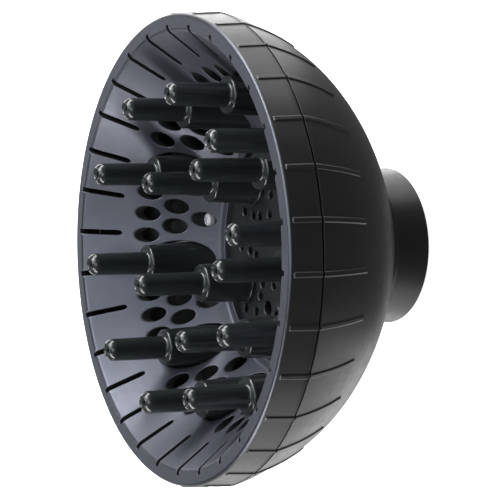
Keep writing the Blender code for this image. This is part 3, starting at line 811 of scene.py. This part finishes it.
def make_grille(mat):
    """Perforated disc with the sockets that the inner fingers snap into."""
    low, high = SEAT_Z + GAP, SEAT_Z + GAP + GRILLE_THICKNESS
    openings = [round_opening(0, 0, GRILLE_HOLE, GRILLE_MIDDLE_EDGE)]
    for angle in inner_finger_angles():
        spot = on_circle(INNER_FINGER_CIRCLE, angle)
        openings.append(round_opening(*spot, GRILLE_SOCKET, GRILLE_SOCKET_EDGE, SOCKET_SIDES))
        for circle, offsets, radius in GRILLE_ROWS:
            for offset in offsets:
                spot = on_circle(circle, angle + INNER_FINGER_STEP / 2 + offset)
                openings.append(round_opening(*spot, radius, GRILLE_HOLE_EDGE))
    outline = [on_circle(GRILLE_RADIUS - GRILLE_RIM_EDGE, 360 * i / SEAT_SIDES) for i in range(SEAT_SIDES)]
    circles = [(4.0 * k, 12 * k) for k in range(1, 10)]
    bm, loops = pierced_plate(outline, openings, circles,
                              lambda x, y, drop: (x, y, high - drop), lambda x, y: (x, y, low))
    for top, back in loops[1:]:
        bridge(bm, top, back)
    last, back = loops[0]
    cut = GRILLE_RIM_EDGE * 0.3
    side = (
        (GRILLE_RADIUS - cut, high - cut), (GRILLE_RADIUS, high - GRILLE_RIM_EDGE), (GRILLE_RADIUS, low),
    )
    for radius, z in side:
        loop = ring(bm, radius, z, SEAT_SIDES)
        bridge(bm, last, loop)
        last = loop
    bridge(bm, last, back)
    mesh = make_mesh("grille_disc", bm, (mat,))
    grille = add_piece("grille_disc", mesh, "centre_grille")
    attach(grille, "root")


# ---------------------------------------------------------------- fingers

def finger_outline(foot, nose_z, shoulder_z, bore):
    """Closed outline of a hollow finger: from its foot over the boss, shaft and tip to its bore."""
    corners = foot + [
        (BOSS_RADIUS, shoulder_z, SHOULDER_ROUND),
        (SHAFT_RADIUS, shoulder_z + SHOULDER_RISE, SHAFT_ROOT_ROUND),
        (SHAFT_TIP_RADIUS, nose_z, 0),
    ]
    end = acos(MOUTH_RADIUS / SHAFT_TIP_RADIUS)
    for k in range(1, 9):
        lean = end * k / 8
        corners.append((SHAFT_TIP_RADIUS * cos(lean), nose_z + NOSE_REACH * sin(lean), 0))
    mouth_z = corners[-1][1]
    corners += [(MOUTH_RADIUS - inside, mouth_z - below, 0) for inside, below in MOUTH_DISH]
    floor_z = mouth_z - MOUTH_DEPTH
    corners += [
        (TIP_HOLE + 0.2, floor_z, 0), (TIP_HOLE + 0.07, floor_z - 0.03, 0), (TIP_HOLE, floor_z - 0.15, 0),
        (TIP_HOLE, floor_z - TIP_WALL, 0), (SHAFT_BORE, floor_z - TIP_WALL, 0.4),
        (SHAFT_BORE, shoulder_z - SHAFT_BORE_DEPTH, 0), (bore, shoulder_z - BOSS_BORE_DEPTH, 0),
    ]
    return rounded(corners)


def make_outer_fingers(mat):
    """Ten fingers whose flanges lie behind the funnel."""
    bm = bmesh.new()
    centre = (OUTER_FINGER_CIRCLE, 0.0)
    outline = finger_outline([], OUTER_NOSE_Z, OUTER_SHOULDER_Z, BOSS_BORE)
    back = FUNNEL_WALL + GAP
    foot = ((BOSS_BORE, back + FLANGE_WALL), (FLANGE_RADIUS, back + FLANGE_WALL),
            (FLANGE_RADIUS, back), (BOSS_FOOT_RADIUS, back))
    loops = turn(bm, [(radius, 0) for radius, _ in foot] + outline, FINGER_SIDES, centre)
    for (radius, depth), loop in zip(foot, loops):
        for i, vert in enumerate(loop):
            side = 2 * pi * i / FINGER_SIDES
            b, c = OUTER_FINGER_CIRCLE * cos(side), OUTER_FINGER_CIRCLE**2 - FLANGE_ROOM**2
            reach = radius
            if b < 0 and b * b > c and radius == FLANGE_RADIUS:
                reach = max(min(radius, -b - sqrt(b * b - c)), BOSS_FOOT_RADIUS + OVERLAP)
            vert.co.x, vert.co.y = centre[0] + reach * cos(side), reach * sin(side)
            vert.co.z = funnel_z(hypot(vert.co.x, vert.co.y), depth)
    mesh = make_mesh("outer_finger", bm, (mat,))
    for i in range(SECTOR_COUNT):
        number = f"{i + 1:02d}"
        finger = add_piece(f"outer_tube_{number}", mesh, f"outer_finger_{number}")
        finger.rotation_euler.z = radians(FINGER_PHASE + i * SECTOR_STEP)
        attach(finger, "root")


def make_inner_fingers(mat):
    """Five fingers that stand on the grille and snap through it."""
    foot_z = SEAT_Z + 2 * GAP + GRILLE_THICKNESS
    foot = [
        (NECK_BORE, SEAT_Z - CATCH_WALL, 0), (CATCH_RADIUS - CATCH_SLOPE, SEAT_Z - CATCH_WALL, 0),
        (CATCH_RADIUS, SEAT_Z, 0), (NECK_RADIUS, SEAT_Z, 0), (NECK_RADIUS, foot_z, 0),
        (INNER_FOOT_RADIUS, foot_z, 0.1), (INNER_FOOT_RADIUS, foot_z + INNER_FOOT_RISE, 0.45),
        (BOSS_FOOT_RADIUS - 0.1, foot_z + INNER_FOOT_RISE + 0.1, 0),
    ]
    bm = bmesh.new()
    turn(bm, finger_outline(foot, INNER_NOSE_Z, INNER_SHOULDER_Z, NECK_BORE), FINGER_SIDES)
    mesh = make_mesh("inner_finger", bm, (mat,))
    for i, angle in enumerate(inner_finger_angles()):
        number = f"{i + 1:02d}"
        finger = add_piece(f"inner_tube_{number}", mesh, f"inner_finger_{number}")
        x, y = on_circle(INNER_FINGER_CIRCLE, angle)
        finger.location = (x * MM, y * MM, 0)
        finger.rotation_euler.z = radians(angle)
        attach(finger, "root")


# ---------------------------------------------------------------- screws and grip

def make_screws(mat):
    """Cross-head screws with a helical thread."""
    seat = SCREW_FLOOR_Z + GAP
    top = seat + SCREW_HEAD_HEIGHT
    outline = [(0, top)]
    for k in range(1, 9):
        lean = radians(90 * k / 8)
        outline.append((SCREW_HEAD_RADIUS * sin(lean), top - SCREW_CROWN * (1 - cos(lean))))
    outline += [
        (SCREW_HEAD_RADIUS, seat + SCREW_HEAD_EDGE), (SCREW_HEAD_RADIUS - SCREW_HEAD_EDGE, seat),
        (SCREW_SHANK_RADIUS, seat),
    ]
    threads = int(SCREW_LENGTH - SCREW_POINT) * THREAD_ROWS
    start = seat - THREAD_START
    outline += [(SCREW_SHANK_RADIUS, start - THREAD_PITCH * k / THREAD_ROWS) for k in range(threads)]
    outline.append((0, seat - SCREW_LENGTH))
    bm = bmesh.new()
    loops = [ring(bm, radius, z, HOLE_SIDES) for radius, z in outline]
    for first, second in zip(loops, loops[1:]):
        bridge(bm, first, second)
    for loop in loops[-1 - threads:-1]:
        for i, vert in enumerate(loop):
            part = (vert.co.z / THREAD_PITCH + i / HOLE_SIDES) % 1
            radius = SCREW_SHANK_RADIUS - THREAD_DEPTH * min(1, 2 * abs(2 * part - 1))
            vert.co.xy = on_circle(radius, 360 * i / HOLE_SIDES)
    mesh = make_mesh("case_screw", bm, (mat,), SCREW_SHARP_ANGLE)
    for i, (x, y) in enumerate(screw_places()):
        number = f"{i + 1:02d}"
        screw = add_piece(f"cross_screw_{number}", mesh.copy(), f"case_screw_{number}")
        bm = bmesh.new()
        for turn_by in (0, 90):
            spin = Matrix.Rotation(radians(turn_by + CROSS_TURN), 4, "Z")
            box = bmesh.ops.create_cube(bm, size=1.0)["verts"]
            lift = Matrix.Translation((0, 0, top))
            bmesh.ops.transform(bm, matrix=lift @ spin @ Matrix.Diagonal((*CROSS_SIZE, 1)), verts=box)
        combine(screw, add_object("cross", make_mesh("cross", bm, (mat,))), "DIFFERENCE")
        finish_shading(screw, SCREW_SHARP_ANGLE)
        screw.location = (x * MM, y * MM, 0)
        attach(screw, "root")


def make_grip(mat):
    """Soft ring with two rounded lips and fine ribs between them."""
    corners = [(GRIP_OUTER, GRIP_TOP_Z, 0.2), (GRIP_OUTER, GRIP_BASE_Z, 0.2), (GRIP_INNER, GRIP_BASE_Z, 0.2)]
    for k in range(1, GRIP_RIB_PARTS):
        z = GRIP_BASE_Z + (GRIP_TOP_Z - GRIP_BASE_Z) * k / GRIP_RIB_PARTS
        reach = GRIP_LIP if k in GRIP_LIP_ROWS else GRIP_RIB
        corners += [
            (GRIP_INNER, z - GRIP_RIB_HALF, 0), (GRIP_INNER - reach, z, 0.08),
            (GRIP_INNER, z + GRIP_RIB_HALF, 0),
        ]
    corners.append((GRIP_INNER, GRIP_TOP_Z, 0.2))
    bm = bmesh.new()
    turn(bm, rounded(corners), SEAT_SIDES)
    grip = add_piece("grip_ring", make_mesh("grip_ring", bm, (mat,)), "nozzle_grip")
    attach(grip, "root")


# ---------------------------------------------------------------- materials

def make_material(name, colour, roughness, grain, grain_depth, metallic=0.0, spread=0.12):
    """Moulded surface: fine grain in its relief, faint clouds in its colour and gloss."""
    mat = bpy.data.materials.new(name)
    mat.use_nodes = True
    nodes, links = mat.node_tree.nodes, mat.node_tree.links
    shader = nodes["Principled BSDF"]
    shader.inputs["Metallic"].default_value = metallic
    shader.inputs["IOR"].default_value = 1.5
    place = nodes.new("ShaderNodeTexCoord")

    def noise(size, detail):
        node = nodes.new("ShaderNodeTexNoise")
        node.inputs["Scale"].default_value = 1 / (size * MM)
        node.inputs["Detail"].default_value = detail
        links.new(place.outputs["Object"], node.inputs["Vector"])
        return node.outputs["Fac"]

    def ramp(source, low, high):
        node = nodes.new("ShaderNodeMapRange")
        node.inputs["From Min"].default_value = 0.3
        node.inputs["From Max"].default_value = 0.7
        node.inputs["To Min"].default_value = low
        node.inputs["To Max"].default_value = high
        links.new(source, node.inputs["Value"])
        return node.outputs["Result"]

    clouds = noise(14.0, 2.0)
    shade = nodes.new("ShaderNodeMix")
    shade.data_type = "RGBA"
    links.new(clouds, shade.inputs["Factor"])
    shade.inputs["A"].default_value = (*[c * (1 - spread) for c in colour], 1)
    shade.inputs["B"].default_value = (*[c * (1 + spread) for c in colour], 1)
    links.new(shade.outputs["Result"], shader.inputs["Base Color"])
    links.new(ramp(noise(2.6, 3.0), roughness - 0.04, roughness + 0.04), shader.inputs["Roughness"])
    bump = nodes.new("ShaderNodeBump")
    bump.inputs["Strength"].default_value = 1.0
    bump.inputs["Distance"].default_value = grain_depth * MM
    links.new(noise(grain, 2.0), bump.inputs["Height"])
    links.new(bump.outputs["Normal"], shader.inputs["Normal"])
    return mat


# ---------------------------------------------------------------- camera, stage and light

def add_camera():
    azimuth, elevation = radians(CAMERA_AZIMUTH), radians(CAMERA_ELEVATION)
    away = Vector((cos(elevation) * cos(azimuth), cos(elevation) * sin(azimuth), sin(elevation)))
    data = bpy.data.cameras.new("camera")
    data.lens = CAMERA_LENS
    data.clip_end = 20
    camera = add_object("camera", data)
    camera.location = (Vector(CAMERA_AIM) + away * CAMERA_DISTANCE) * MM
    camera.rotation_mode = "QUATERNION"
    camera.rotation_quaternion = away.to_track_quat("Z", "Y") @ Quaternion((0, 0, 1), radians(CAMERA_ROLL))
    bpy.context.scene.camera = camera


def softbox(name, place, target, size, power, colour=(1, 1, 1)):
    """Rectangular area light at a place in millimetres, facing a target; the camera doesn't see it."""
    data = bpy.data.lights.new(name, "AREA")
    data.shape = "RECTANGLE"
    data.size, data.size_y = size[0] * MM, size[1] * MM
    data.energy = power
    data.color = colour
    light = add_object(name, data)
    light.location = Vector(place) * MM
    light.rotation_mode = "QUATERNION"
    light.rotation_quaternion = (Vector(place) - Vector(target)).to_track_quat("Z", "Y")
    light.visible_camera = False


def add_stage():
    """Pale floor under the collar, which the object's own reflections leave out."""
    mesh = bpy.data.meshes.new("floor")
    half = FLOOR_SIZE * MM / 2
    low = CAD_BOX[0][2] - FLOOR_DROP * MM
    corners = [(-half, -half, low), (half, -half, low), (half, half, low), (-half, half, low)]
    mesh.from_pydata(corners, [], [(0, 1, 2, 3)])
    floor = add_object("floor", mesh)
    mat = bpy.data.materials.new("floor_white")
    mat.use_nodes = True
    shader = mat.node_tree.nodes["Principled BSDF"]
    shader.inputs["Base Color"].default_value = (0.9, 0.9, 0.9, 1)
    shader.inputs["Roughness"].default_value = 0.8
    shader.inputs["Emission Color"].default_value = (1, 1, 1, 1)
    shader.inputs["Emission Strength"].default_value = 0.85
    mesh.materials.append(mat)
    floor.visible_glossy = False
    floor.visible_diffuse = False
    floor.visible_shadow = False


def add_light():
    world = bpy.data.worlds.new("studio")
    bpy.context.scene.world = world
    world.use_nodes = True
    world.node_tree.nodes["Background"].inputs["Color"].default_value = (1, 1, 1, 1)
    world.node_tree.nodes["Background"].inputs["Strength"].default_value = 0.15
    softbox("top_box", (-325, 900, -300), (0, 0, 50), (1550, 900), 9)
    softbox("top_strip", (-200, 900, 600), (0, 0, 60), (320, 1200), 15)
    softbox("bottom_box", (-225, -900, -575), (0, 0, 50), (1550, 1450), 9.5)
    softbox("bottom_strip", (0, -900, 600), (0, 0, 60), (240, 1200), 12)
    softbox("back_top", (-1000, 500, -250), (0, 0, 50), (900, 800), 4.5)
    softbox("back_low", (-1000, -500, -600), (0, 0, 50), (1100, 1300), 2.2)
    softbox("back_left", (-1000, 0, 130), (0, 0, 80), (1500, 200), 3.0)
    softbox("key_box", (640, 0, 880), (0, 0, 60), (500, 500), 2.8, (0.9, 0.95, 1.0))
    softbox("mouth_box", (-50, 450, 900), (0, 0, 80), (900, 800), 8.4, (0.9, 0.95, 1.0))
    bpy.context.scene.view_settings.view_transform = "Standard"


add_camera()
add_stage()
add_light()
shell_plastic = make_material("shell_plastic", (0.015, 0.0148, 0.0148), 0.36, 0.45, 0.02)
bowl_plastic = make_material("bowl_plastic", (0.088, 0.092, 0.112), 0.46, 0.5, 0.03, metallic=0.7)
edge_plastic = make_material("edge_plastic", (0.085, 0.088, 0.1), 0.4, 0.5, 0.02, metallic=1.0)
finger_plastic = make_material("finger_plastic", (0.017, 0.02, 0.0205), 0.19, 0.6, 0.008)
grille_plastic = make_material("grille_plastic", (0.01, 0.0105, 0.012), 0.4, 0.5, 0.02)
grip_rubber = make_material("grip_rubber", (0.02, 0.02, 0.02), 0.7, 0.3, 0.03)
screw_steel = make_material("screw_steel", (0.6, 0.6, 0.61), 0.6, 0.25, 0.01, metallic=0.25, spread=0.05)
make_front_bowl(bowl_plastic, shell_plastic, edge_plastic)
make_rear_shell(shell_plastic)
make_grille(grille_plastic)
make_outer_fingers(finger_plastic)
make_inner_fingers(finger_plastic)
make_screws(screw_steel)
make_grip(grip_rubber)
